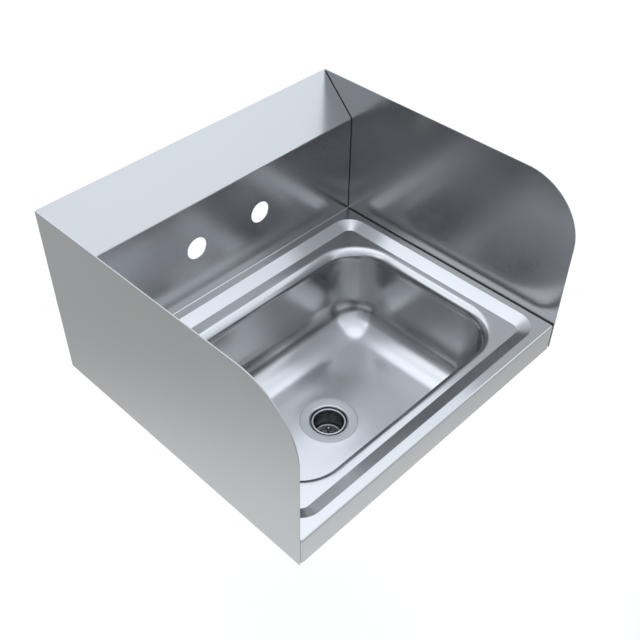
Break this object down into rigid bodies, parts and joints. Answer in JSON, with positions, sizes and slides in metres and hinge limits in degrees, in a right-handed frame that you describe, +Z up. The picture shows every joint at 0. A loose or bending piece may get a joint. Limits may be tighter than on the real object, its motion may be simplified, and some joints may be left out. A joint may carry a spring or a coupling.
{
  "type": "hand wash sink",
  "caption": "Wall-hung stainless hand wash sink: drawn bowl in a no-drip deck, backsplash with faucet holes, side splashes, lift-out strainer cup and waste tube.",
  "frame": {"origin": "on the wall plane, midway across the sink, at the height of the wall bracket's screw line", "axes": "+X to the right seen from the front, +Y into the wall, +Z up"},
  "size_m": [0.4318, 0.3873, 0.4731],
  "materials": {
    "folded_sheet": "satin polished stainless sheet, fine long grain",
    "drawn_sheet": "satin polished drawn stainless sheet",
    "mill_sheet": "dull unpolished stainless sheet",
    "stainless_fastener": "plain stainless fastener",
    "polished_drain": "bright polished drain fitting",
    "chromed_nut": "chrome plated nut",
    "cast_nut": "dull cast locknut",
    "black_rubber": "matt black rubber",
    "grey_fibre": "grey fibre ring",
    "white_plastic": "white polyethylene washer"
  },
  "bodies": {
    "sink": {"deck": "folded_sheet", "bowl": "drawn_sheet", "left_side_splash": "folded_sheet", "right_side_splash": "folded_sheet", "left_joint_gasket": "black_rubber", "right_joint_gasket": "black_rubber", "left_splash_studs": "stainless_fastener", "right_splash_studs": "stainless_fastener", "left_splash_washers": "stainless_fastener", "right_splash_washers": "stainless_fastener", "left_splash_nuts": "stainless_fastener", "right_splash_nuts": "stainless_fastener", "hang_rail": "mill_sheet", "wall_bracket": "mill_sheet", "wall_tabs": "mill_sheet", "drain_body": "polished_drain", "flange_seal": "black_rubber", "drain_gasket": "black_rubber", "friction_ring": "grey_fibre", "locknut": "cast_nut", "tailpiece": "polished_drain", "tailpiece_washer": "white_plastic", "coupling_nut": "chromed_nut"},
    "strainer": {"strainer_cup": "polished_drain", "strainer_post": "polished_drain"}
  },
  "joints": [
    {"name": "strainer_lift", "type": "slide", "parent": "sink", "child": "strainer", "axis": [0, 0, 1], "range_m": [0, 0.175]}
  ]
}
